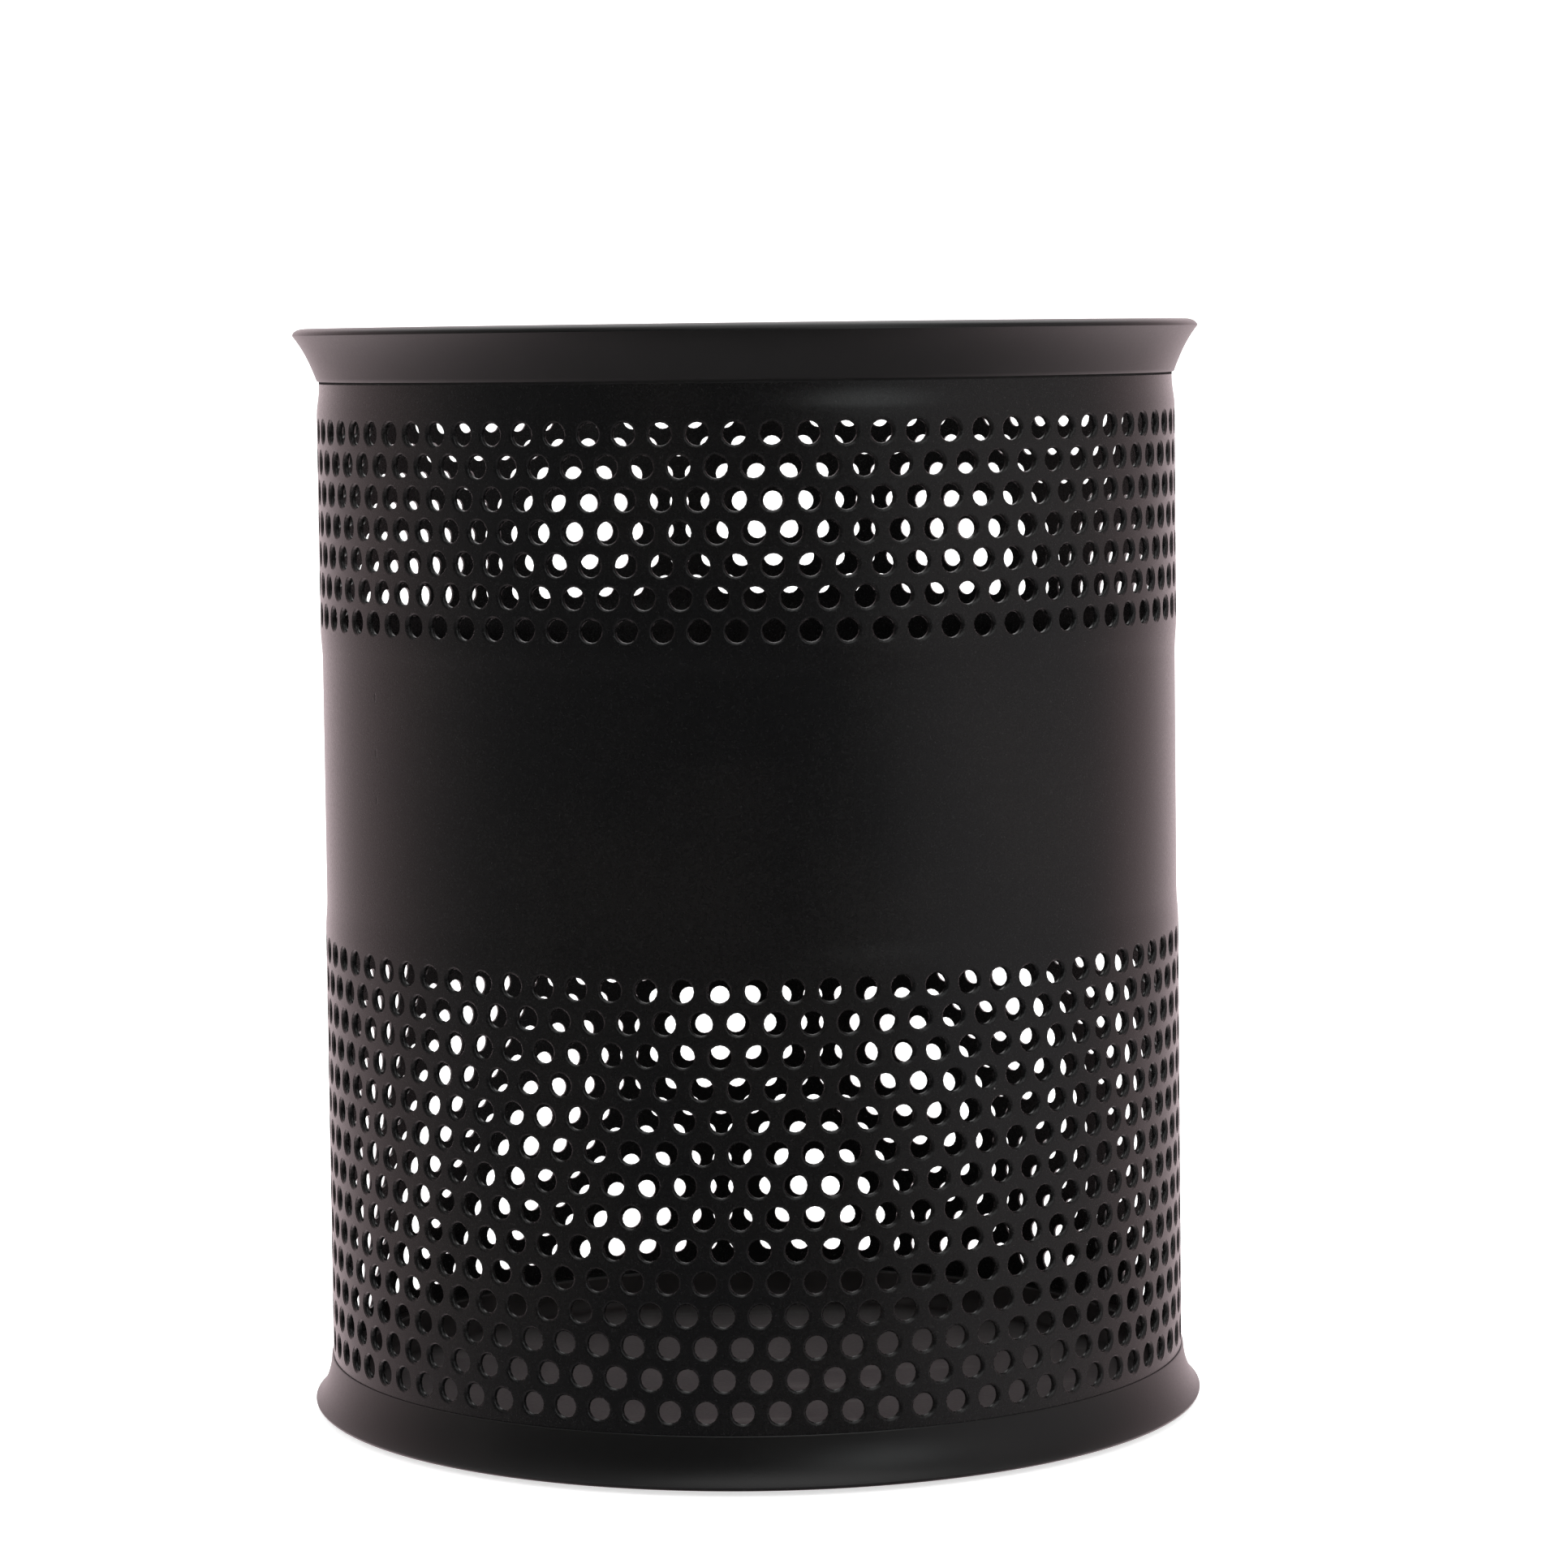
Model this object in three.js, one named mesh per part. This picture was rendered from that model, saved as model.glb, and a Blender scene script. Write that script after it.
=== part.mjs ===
// Desk pen cup: a rolled shell of perforated sheet steel, held between a flared top rim
// and a flared base ring, with a pressed floor pan resting in the base ring.
// Millimetres, +Z up. The origin is on the table, on the axis of the cup.
import * as THREE from 'three';
import { mergeVertices } from 'three/addons/utils/BufferGeometryUtils.js';

const OVERALL_HEIGHT = 101.0; // from the table to the top of the rim

// Driving dimensions of the sheet
const SHELL_DIAMETER = 79.5; // outside, over the plain stretches
const SHEET_THICKNESS = 0.5;
const BAND_SWELL = 0.25; // how far the punched bands stand proud of the plain sheet

// Driving dimensions of the perforation, as punched: round holes in staggered rows
const HOLE_DIAMETER = 2.0;
const HOLE_PITCH = 3.22; // from hole to hole along a row
const ROW_PITCH = 2.8;
const LOWER_ROWS = 14;
const UPPER_ROWS = 7; // ten more are left unpunched between the two bands
const LOWER_MARGIN = 2.5; // from the base ring's edge to the first row's centres
const UPPER_MARGIN = 4.6; // from the last row's centres to the top rim's edge
const SWELL_RUN_OUT = 1.3; // from a band's outer holes to sheet of the plain radius
const RIM_NECK = 0.15; // how far the sheet is drawn in under the top rim

// Each modelled hole stands for this many punched holes in each direction,
// with the pitch and the hole enlarged alike, so the open share of the sheet is kept.
const PATTERN_SCALE = 7 / 3;

// Driving dimensions of the base ring
const BASE_HEIGHT = 5.0; // from the table to the ring's upper edge
const BASE_OVERHANG = 1.8; // from the plain sheet out to the widest line
const BASE_WIDEST_HEIGHT = 0.95;
const BASE_TOE = 0.35; // rounding below the widest line, in width and in height
const BASE_FOOT_INSET = 3.9; // from the widest line in to the flat foot
const BASE_GROOVE_FLOOR = 1.6; // height of the sheet's lower edge
const LEDGE_HEIGHT = 0.6; // height of the ledge that carries the floor pan
const LEDGE_WIDTH = 2.2;

// Driving dimensions of the top rim
const RIM_HEIGHT = 4.9; // from the rim's lower edge to its top
const RIM_OVERHANG = 2.4; // from the plain sheet out to the widest line
const RIM_LIP_HEIGHT = 0.65; // from the widest line to the top
const RIM_LIP_WIDTH = 1.1; // from the widest line in to the crest
const RIM_CREST_WIDTH = 1.1; // from the crest in to the funnel's edge
const RIM_CREST_FALL = 0.2; // over that width
const RIM_FUNNEL_WALL = 0.4; // over the sheet's edge, where the funnel meets the bore
const RIM_SKIRT = 1.0; // how far the inner wall reaches below the rim's edge
const INSERTION = 2.4; // how deep the sheet enters the rim's groove

// What both rings share
const GROOVE_CLEARANCE = 0.1; // on each side of the sheet in a groove
const EDGE_THICKNESS = 0.15; // of a ring's feathered outer edge
const INNER_WALL = 0.8; // of a ring inside the sheet
const FLARE_STEPS = 4; // facets along a flare's section
const CORNER_STEPS = 2; // facets along a rounded corner's section

// How each flare is drawn out: its curve's two inner control points, as shares of
// the flare's width and height, counted from its slimmer end
const BASE_FLARE = { low: [0.42, 0.1], high: [0.1, 0.42] };
const RIM_FLARE = { low: [0.23, 0.33], high: [0.49, 0.67] };

// Driving dimensions of the floor pan
const PAN_THICKNESS = 0.5;
const PAN_CORNER = 1.8; // outer radius of the pressed corner
const PAN_HEIGHT = 3.6; // from the ledge to the pan's upper edge
const PAN_CLEARANCE = 0.15;

// Finishes
const powderCoat = () =>
  new THREE.MeshStandardMaterial({ color: 0x17171a, roughness: 0.42, metalness: 0.2 });
const mouldedPlastic = () =>
  new THREE.MeshStandardMaterial({ color: 0x232325, roughness: 0.6, metalness: 0 });

// Worked out once: how the lattice closes round the sheet and where the bands lie
const plainRadius = SHELL_DIAMETER / 2;
const bandRadius = plainRadius + BAND_SWELL;
const modelledRows = (rows) => Math.max(1, Math.round(rows / PATTERN_SCALE));
const columns = Math.round((2 * Math.PI * bandRadius) / (HOLE_PITCH * PATTERN_SCALE));
const segments = 2 * columns; // the rings have a facet line at each column and between columns
const rowStep = ROW_PITCH * PATTERN_SCALE;
const holeArea = Math.PI * (HOLE_DIAMETER * PATTERN_SCALE / 2) ** 2;
const holeRadius = Math.sqrt(holeArea / (1.5 * Math.sqrt(3))); // hexagon of the same area

// The upper band hangs from the rim and the lower band stands on the base ring,
// with the plain sheet between them
const rimHeight = OVERALL_HEIGHT - RIM_HEIGHT; // of the rim's lower edge
const sheetTop = rimHeight + INSERTION;
const firstRowHeight = BASE_HEIGHT + LOWER_MARGIN;
const upperRowHeight = rimHeight - UPPER_MARGIN - (UPPER_ROWS - 1) * ROW_PITCH;

function punchedBand(firstHeight, rows) {
  const middle = firstHeight + ((rows - 1) * ROW_PITCH) / 2;
  const count = modelledRows(rows);
  const lowest = middle - ((count - 1) * rowStep) / 2;
  return {
    heights: Array.from({ length: count }, (_, row) => lowest + row * rowStep),
    bottom: lowest - holeRadius,
    top: lowest + (count - 1) * rowStep + holeRadius,
  };
}

// The flat blank, before rolling: corners at (column, height, swell), faces seen from outside.
// A column is a place round the sheet, counted in hole pitches, so the blank closes on itself.
class Blank {
  constructor() {
    this.corners = [];
    this.faces = [];
  }

  corner(column, height, swell) {
    this.corners.push({ column, height, swell });
    return this.corners.length - 1;
  }

  quad(a, b, c, d) {
    this.faces.push([a, b, c], [a, c, d]);
  }

  // A line of corners right round the sheet, two to a column
  line(height, swell) {
    return Array.from({ length: segments }, (_, i) => this.corner(i / 2, height, swell));
  }

  // Fills the strip between two lines of corners, each in order round the sheet
  fill(lower, upper) {
    const at = (list, i) => this.corners[list[i % list.length]].column
      + columns * Math.floor(i / list.length);
    let i = 0;
    let j = 0;
    while (i < lower.length || j < upper.length) {
      const a = lower[i % lower.length];
      const b = upper[j % upper.length];
      const lowerNext = i < lower.length && (j >= upper.length || at(lower, i + 1) <= at(upper, j + 1));
      if (lowerNext) {
        i += 1;
        this.faces.push([a, lower[i % lower.length], b]);
      } else {
        j += 1;
        this.faces.push([a, upper[j % upper.length], b]);
      }
    }
  }
}

// One row of hexagonal holes. Corner k lies at 30 + 60 k degrees round its hole.
function punchRow(blank, height, offset) {
  const pitch = (2 * Math.PI * bandRadius) / columns;
  return Array.from({ length: columns }, (_, column) =>
    Array.from({ length: 6 }, (_, k) => {
      const angle = Math.PI / 6 + (k * Math.PI) / 3;
      const across = (holeRadius * Math.cos(angle)) / pitch;
      return blank.corner(column + offset + across, height + holeRadius * Math.sin(angle), BAND_SWELL);
    }));
}

// A band of staggered rows: webs between neighbouring holes, and the corners where three meet
function punchBand(blank, band) {
  const rows = band.heights.map((height, row) => punchRow(blank, height, (row % 2) / 2));
  const wrap = (column) => (column + columns) % columns;
  rows.forEach((row, r) => row.forEach((hole, c) => {
    const right = row[wrap(c + 1)];
    blank.quad(hole[5], right[3], right[2], hole[0]);
    if (r + 1 === rows.length) return;
    const upperRight = rows[r + 1][wrap(c + (r % 2))];
    const upperLeft = rows[r + 1][wrap(c - 1 + (r % 2))];
    blank.quad(hole[0], upperRight[4], upperRight[3], hole[1]);
    blank.quad(hole[1], upperLeft[5], upperLeft[4], hole[2]);
    blank.faces.push([hole[0], right[2], upperRight[4]]);
    blank.faces.push([hole[1], upperRight[3], upperLeft[5]]);
  }));
  const outline = (row, ks) => row.flatMap((hole) => ks.map((k) => hole[k]));
  return { bottom: outline(rows[0], [3, 4, 5]), top: outline(rows[rows.length - 1], [2, 1, 0]) };
}

// Rolls the blank and gives it its thickness. Wherever a face has no neighbour,
// at a hole's edge or the sheet's own, a wall joins the outside to the inside.
function rollSheet(blank) {
  const positions = [];
  const place = ({ column, height, swell }, depth) => {
    const angle = (column / columns) * 2 * Math.PI;
    const radius = plainRadius + swell - depth;
    positions.push(radius * Math.sin(angle), -radius * Math.cos(angle), height);
  };
  blank.corners.forEach((corner) => place(corner, 0));
  blank.corners.forEach((corner) => place(corner, SHEET_THICKNESS));
  const inner = (i) => i + blank.corners.length;
  const edges = new Set(blank.faces.flatMap(([a, b, c]) => [`${a},${b}`, `${b},${c}`, `${c},${a}`]));
  const index = [];
  blank.faces.forEach(([a, b, c]) => {
    index.push(a, b, c, inner(c), inner(b), inner(a));
    [[a, b], [b, c], [c, a]].forEach(([from, to]) => {
      if (edges.has(`${to},${from}`)) return;
      index.push(from, inner(from), inner(to), from, inner(to), to);
    });
  });
  const geometry = new THREE.BufferGeometry();
  geometry.setAttribute('position', new THREE.Float32BufferAttribute(positions, 3));
  geometry.setIndex(index);
  geometry.computeVertexNormals();
  return geometry;
}

function perforatedShell() {
  const blank = new Blank();
  const lower = punchedBand(firstRowHeight, LOWER_ROWS);
  const upper = punchedBand(upperRowHeight, UPPER_ROWS);
  const foot = blank.line(BASE_GROOVE_FLOOR, 0);
  const lowerPlain = blank.line(Math.min(BASE_HEIGHT, lower.bottom - SWELL_RUN_OUT), 0);
  const lowerBand = punchBand(blank, lower);
  const plainStart = blank.line(lower.top + SWELL_RUN_OUT, 0);
  const plainEnd = blank.line(upper.bottom - SWELL_RUN_OUT, 0);
  const upperBand = punchBand(blank, upper);
  const neck = blank.line(upper.top + SWELL_RUN_OUT, -RIM_NECK);
  const head = blank.line(sheetTop, -RIM_NECK);
  blank.fill(foot, lowerPlain);
  blank.fill(lowerPlain, lowerBand.bottom);
  blank.fill(lowerBand.top, plainStart);
  blank.fill(plainStart, plainEnd);
  blank.fill(plainEnd, upperBand.bottom);
  blank.fill(upperBand.top, neck);
  blank.fill(neck, head);
  return rollSheet(blank);
}

// A ring or pan turned from its section, given as points (radius, height) that run
// outwards along the underside, up the outside and back inwards over the top.
function turned(section) {
  const lathe = new THREE.LatheGeometry(section, segments);
  lathe.rotateX(Math.PI / 2);
  lathe.deleteAttribute('uv');
  lathe.deleteAttribute('normal');
  const geometry = mergeVertices(lathe);
  geometry.computeVertexNormals();
  return geometry;
}

const point = (radius, height) => new THREE.Vector2(radius, height);
const closed = (points) => [...points, points[0].clone()];

// The hollow outside of a ring, from its lower end up to its upper one
function flared(lower, upper, slim, shape) {
  const width = Math.abs(upper.x - lower.x);
  const control = ([across, up]) =>
    point(slim.x + width * across, lower.y + (upper.y - lower.y) * up);
  return new THREE.CubicBezierCurve(lower, control(shape.low), control(shape.high), upper)
    .getPoints(FLARE_STEPS);
}

// A rounded edge between two lines that meet at the corner given
const rounded = (from, corner, to) =>
  new THREE.QuadraticBezierCurve(from, corner, to).getPoints(CORNER_STEPS);

// The radii of a ring's groove, bore and outer edge, round sheet of the outside radius given
function grip(sheetRadius) {
  const outer = sheetRadius + GROOVE_CLEARANCE;
  const inner = sheetRadius - SHEET_THICKNESS - GROOVE_CLEARANCE;
  return { outer, inner, bore: inner - INNER_WALL, edge: outer + EDGE_THICKNESS };
}

const baseGrip = grip(plainRadius);
const rimGrip = grip(plainRadius - RIM_NECK);
const panTop = LEDGE_HEIGHT + PAN_HEIGHT;

function baseRing() {
  const { outer, inner, bore } = baseGrip;
  const widest = point(plainRadius + BASE_OVERHANG, BASE_WIDEST_HEIGHT);
  const toe = point(widest.x - BASE_TOE, BASE_WIDEST_HEIGHT - BASE_TOE);
  const edge = point(baseGrip.edge, BASE_HEIGHT);
  return turned(closed([
    point(bore - LEDGE_WIDTH, 0),
    point(widest.x - BASE_FOOT_INSET, 0),
    ...rounded(toe, point(widest.x, toe.y), widest),
    ...flared(widest, edge, edge, BASE_FLARE).slice(1),
    point(outer, BASE_HEIGHT),
    point(outer, BASE_GROOVE_FLOOR),
    point(inner, BASE_GROOVE_FLOOR),
    point(inner, panTop),
    point(bore, panTop),
    point(bore, LEDGE_HEIGHT),
    point(bore - LEDGE_WIDTH, LEDGE_HEIGHT),
  ]));
}

function topRim() {
  const { outer, inner, bore } = rimGrip;
  const widest = point(plainRadius + RIM_OVERHANG, OVERALL_HEIGHT - RIM_LIP_HEIGHT);
  const edge = point(rimGrip.edge, rimHeight);
  const crest = point(widest.x - RIM_LIP_WIDTH, OVERALL_HEIGHT);
  return turned(closed([
    point(bore, rimHeight - RIM_SKIRT),
    point(inner, rimHeight - RIM_SKIRT),
    point(inner, sheetTop),
    point(outer, sheetTop),
    point(outer, rimHeight),
    ...flared(edge, widest, edge, RIM_FLARE),
    ...rounded(widest, point(widest.x, OVERALL_HEIGHT), crest).slice(1),
    point(crest.x - RIM_CREST_WIDTH, OVERALL_HEIGHT - RIM_CREST_FALL),
    point(bore, sheetTop + RIM_FUNNEL_WALL),
  ]));
}

function floorPan() {
  const outer = baseGrip.bore - PAN_CLEARANCE;
  const inside = outer - PAN_THICKNESS;
  const floor = LEDGE_HEIGHT + PAN_THICKNESS;
  const bend = PAN_CORNER - PAN_THICKNESS;
  const under = new THREE.EllipseCurve(
    outer - PAN_CORNER, LEDGE_HEIGHT + PAN_CORNER, PAN_CORNER, PAN_CORNER, -Math.PI / 2, 0);
  const over = new THREE.EllipseCurve(
    outer - PAN_CORNER, LEDGE_HEIGHT + PAN_CORNER, bend, bend, 0, -Math.PI / 2, true);
  return turned([
    point(0, LEDGE_HEIGHT),
    ...under.getPoints(CORNER_STEPS),
    point(outer, panTop),
    point(inside, panTop),
    ...over.getPoints(CORNER_STEPS),
    point(0, floor),
  ]);
}

function piece(name, geometry, material) {
  const mesh = new THREE.Mesh(geometry, material);
  mesh.name = name;
  return mesh;
}

const cup = new THREE.Group();
cup.add(
  piece('perforated_shell', perforatedShell(), powderCoat()),
  piece('top_rim', topRim(), mouldedPlastic()),
  piece('base_ring', baseRing(), mouldedPlastic()),
  piece('floor_pan', floorPan(), powderCoat()),
);

export default cup;
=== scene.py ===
"""A round desk pen cup: rolled perforated sheet, flared top rim and base ring, pressed floor pan.

Angles round the cup are counted from the front, -Y, towards +X. Sizes are in metres.
"""

import logging
import math
from contextlib import contextmanager
from dataclasses import dataclass, field
from enum import Enum
from typing import Any, Callable, Iterator, Sequence, Union

import bmesh
import bpy
from mathutils import Euler, Matrix, Vector
from mathutils.geometry import interpolate_bezier


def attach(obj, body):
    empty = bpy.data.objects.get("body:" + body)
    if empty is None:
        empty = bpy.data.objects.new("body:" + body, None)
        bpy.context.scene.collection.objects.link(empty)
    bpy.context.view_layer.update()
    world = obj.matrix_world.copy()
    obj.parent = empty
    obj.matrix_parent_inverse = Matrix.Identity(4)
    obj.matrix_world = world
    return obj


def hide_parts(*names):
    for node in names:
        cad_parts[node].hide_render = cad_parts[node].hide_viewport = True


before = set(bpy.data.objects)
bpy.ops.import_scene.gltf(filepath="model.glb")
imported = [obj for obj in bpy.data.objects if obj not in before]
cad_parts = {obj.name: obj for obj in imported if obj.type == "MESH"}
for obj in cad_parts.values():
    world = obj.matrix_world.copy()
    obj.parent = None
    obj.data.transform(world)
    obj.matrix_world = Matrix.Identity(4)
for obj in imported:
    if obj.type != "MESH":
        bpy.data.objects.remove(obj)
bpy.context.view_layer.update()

LOG = logging.getLogger("pen_cup")
MM = 0.001
FULL_TURN = 2 * math.pi
WELD_DISTANCE = 0.002 * MM
BODY = "root"
# How far a Bezier curve's handles reach towards the corner of a quarter round
ROUND = 0.55
FLARE_STEPS = 16
ROUND_STEPS = 6
LIP_STEPS = 8
CORNER_STEPS = 10
# How much the specks of one kind differ in size
SPECK_VARIETY = 0.6
# The Mix node's colour sockets share their names with others, so they go by number
MIX_FACTOR, MIX_UNDER, MIX_OVER, MIX_RESULT = 0, 6, 7, 2

Colour = tuple[float, float, float, float]
Section = list[tuple[float, float]]


class Slot(Enum):
    """The record's material slots."""

    SHELL = "shell"
    RINGS = "rings"
    FLOOR = "floor"


class Pick(Enum):
    """What a selection in edit mode is made of."""

    VERTICES = "VERT"
    EDGES = "EDGE"
    FACES = "FACE"


def grey(level: float, red: float = 0.0, blue: float = 0.0) -> Colour:
    """A grey of that linear level, with a tint.

    Args:
        level: The linear grey level.
        red: How much more red there is than green, as a share of the level.
        blue: How much more blue there is than green, as a share of the level.

    Returns:
        The colour with full alpha.
    """
    return (level * (1 + red), level, level * (1 + blue), 1.0)


# Modelling by operators


def deselect_objects() -> None:
    """Leaves no object selected."""
    bpy.ops.object.select_all(action="DESELECT")


def activate(piece: bpy.types.Object) -> None:
    """Makes one object the only selected and the active one.

    Args:
        piece: The object to work on.
    """
    deselect_objects()
    piece.select_set(True)
    bpy.context.view_layer.objects.active = piece


@contextmanager
def editing(piece: bpy.types.Object) -> Iterator[None]:
    """Edit mode on one object, for as long as the block lasts.

    Args:
        piece: The mesh object to edit.

    Yields:
        Nothing.
    """
    activate(piece)
    bpy.ops.object.mode_set(mode="EDIT")
    bpy.ops.mesh.select_mode(type=Pick.VERTICES.value)
    yield
    bpy.ops.object.mode_set(mode="OBJECT")


def pick(kind: Pick, wanted: Callable[[Vector], bool]) -> int:
    """Selects the vertices, edges or faces whose middle passes a test.

    Args:
        kind: What to select.
        wanted: The test of a middle point.

    Returns:
        How many were selected.
    """
    bpy.ops.mesh.select_mode(type=kind.value)
    bpy.ops.mesh.select_all(action="DESELECT")
    mesh = bpy.context.edit_object.data
    cage = bmesh.from_edit_mesh(mesh)
    if kind is Pick.VERTICES:
        chosen = [v for v in cage.verts if wanted(v.co)]
    elif kind is Pick.EDGES:
        chosen = [e for e in cage.edges if wanted((e.verts[0].co + e.verts[1].co) / 2)]
    else:
        chosen = [f for f in cage.faces if wanted(f.calc_center_median())]
    for item in chosen:
        item.select_set(True)
    cage.select_flush_mode()
    bmesh.update_edit_mesh(mesh)
    return len(chosen)


def near(a: float, b: float, reach: float = 0.01 * MM) -> bool:
    """Tells whether two measures are the same but for rounding."""
    return abs(a - b) < reach


def shift(x: float = 0.0, y: float = 0.0, z: float = 0.0) -> None:
    """Moves the selection in edit mode."""
    bpy.ops.transform.translate(value=(x, y, z))


def draw_out(x: float = 0.0, y: float = 0.0, z: float = 0.0) -> None:
    """Extrudes the selection in edit mode by one step."""
    bpy.ops.mesh.extrude_region_move(TRANSFORM_OT_translate={"value": (x, y, z)})


def weld() -> None:
    """Merges every doubled vertex of the mesh in edit mode."""
    bpy.ops.mesh.select_all(action="SELECT")
    bpy.ops.mesh.remove_doubles(threshold=WELD_DISTANCE)


def face_outwards() -> None:
    """Turns all the faces of a closed mesh outwards, in edit mode."""
    bpy.ops.mesh.select_all(action="SELECT")
    bpy.ops.mesh.normals_make_consistent(inside=False)


def apply_modifier(piece: bpy.types.Object, kind: str, settings: dict[str, Any]) -> None:
    """Adds a modifier, sets it and applies it.

    Args:
        piece: The object to change.
        kind: The modifier's type.
        settings: The modifier's properties by name.
    """
    activate(piece)
    modifier = piece.modifiers.new(kind.lower(), kind)
    for name, value in settings.items():
        setattr(modifier, name, value)
    bpy.ops.object.modifier_apply(modifier=modifier.name)


def smooth_by_angle(piece: bpy.types.Object, degrees: float) -> None:
    """Shades a piece smooth, except over edges sharper than the angle.

    Args:
        piece: The object to shade.
        degrees: The sharpest edge that stays smooth.
    """
    activate(piece)
    bpy.ops.object.shade_smooth_by_angle(angle=math.radians(degrees))


def curve(*controls: tuple[float, float], steps: int) -> Section:
    """Points along a Bezier curve in a section's plane.

    Args:
        controls: Start, first handle, second handle and end, as (radius, height).
        steps: How many facets the curve gets.

    Returns:
        The points, both ends included.
    """
    start, handle_a, handle_b, end = (Vector((r, z, 0.0)) for r, z in controls)
    return [(p.x, p.y) for p in interpolate_bezier(start, handle_a, handle_b, end, steps + 1)]


def arc(
    centre: tuple[float, float], radius: float, start: float, end: float, steps: int
) -> Section:
    """Points along an arc in a section's plane.

    Args:
        centre: The arc's centre, as (radius, height).
        radius: The arc's own radius.
        start: Where it starts, in degrees from outwards towards upwards.
        end: Where it ends.
        steps: How many facets the arc gets.

    Returns:
        The points, both ends included.
    """
    angles = [math.radians(start + (end - start) * i / steps) for i in range(steps + 1)]
    return [(centre[0] + radius * math.cos(a), centre[1] + radius * math.sin(a)) for a in angles]


# Shader maths


class Signal:
    """A number that varies over a surface; Python's operators add the Math nodes."""

    def __init__(self, graph: "Graph", socket: bpy.types.NodeSocket) -> None:
        """Wraps an output socket of one of the graph's nodes."""
        self.graph = graph
        self.socket = socket

    def combine(self, operation: str, *values: "Number") -> "Signal":
        """Adds one Math node.

        Args:
            operation: The Math node's operation.
            values: Its inputs in order.

        Returns:
            The node's result.
        """
        node = self.graph.node("ShaderNodeMath", {"operation": operation}, dict(enumerate(values)))
        return Signal(self.graph, node.outputs[0])

    def __add__(self, other: "Number") -> "Signal":
        """The sum."""
        return self.combine("ADD", self, other)

    __radd__ = __add__

    def __sub__(self, other: "Number") -> "Signal":
        """This less the other."""
        return self.combine("SUBTRACT", self, other)

    def __rsub__(self, other: "Number") -> "Signal":
        """The other less this."""
        return self.combine("SUBTRACT", other, self)

    def __mul__(self, other: "Number") -> "Signal":
        """The product."""
        return self.combine("MULTIPLY", self, other)

    __rmul__ = __mul__

    def __truediv__(self, other: "Number") -> "Signal":
        """This divided by the other."""
        return self.combine("DIVIDE", self, other)

    def __lt__(self, other: "Number") -> "Signal":
        """One where this is the smaller, else zero."""
        return self.combine("LESS_THAN", self, other)

    def __gt__(self, other: "Number") -> "Signal":
        """One where this is the greater, else zero."""
        return self.combine("GREATER_THAN", self, other)

    def __abs__(self) -> "Signal":
        """The value without its sign."""
        return self.combine("ABSOLUTE", self)

    def fade(self, full: float, none: float) -> "Signal":
        """One at a first value, smoothly down to zero at a second.

        Args:
            full: The value where the result is one.
            none: The value where it is zero.

        Returns:
            The mask.
        """
        node = self.graph.node(
            "ShaderNodeMapRange",
            {"interpolation_type": "SMOOTHSTEP"},
            {"Value": self, "From Min": none, "From Max": full},
        )
        return Signal(self.graph, node.outputs["Result"])

    def swing(self, reach: float) -> "Signal":
        """A signal from zero to one, made to swing evenly about zero."""
        return (self - 0.5) * reach


Number = Union[Signal, float]


@dataclass(frozen=True)
class Scatter:
    """How specks or pits are strewn over a finish.

    Spacing is the distance between places where one may be, size is its diameter, and share is
    the share of those places that have one.
    """

    spacing: float
    size: float
    share: float


@dataclass(frozen=True)
class Relief:
    """How deep a pattern goes into a finish, in metres, and how strongly that shows."""

    depth: float
    strength: float


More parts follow.
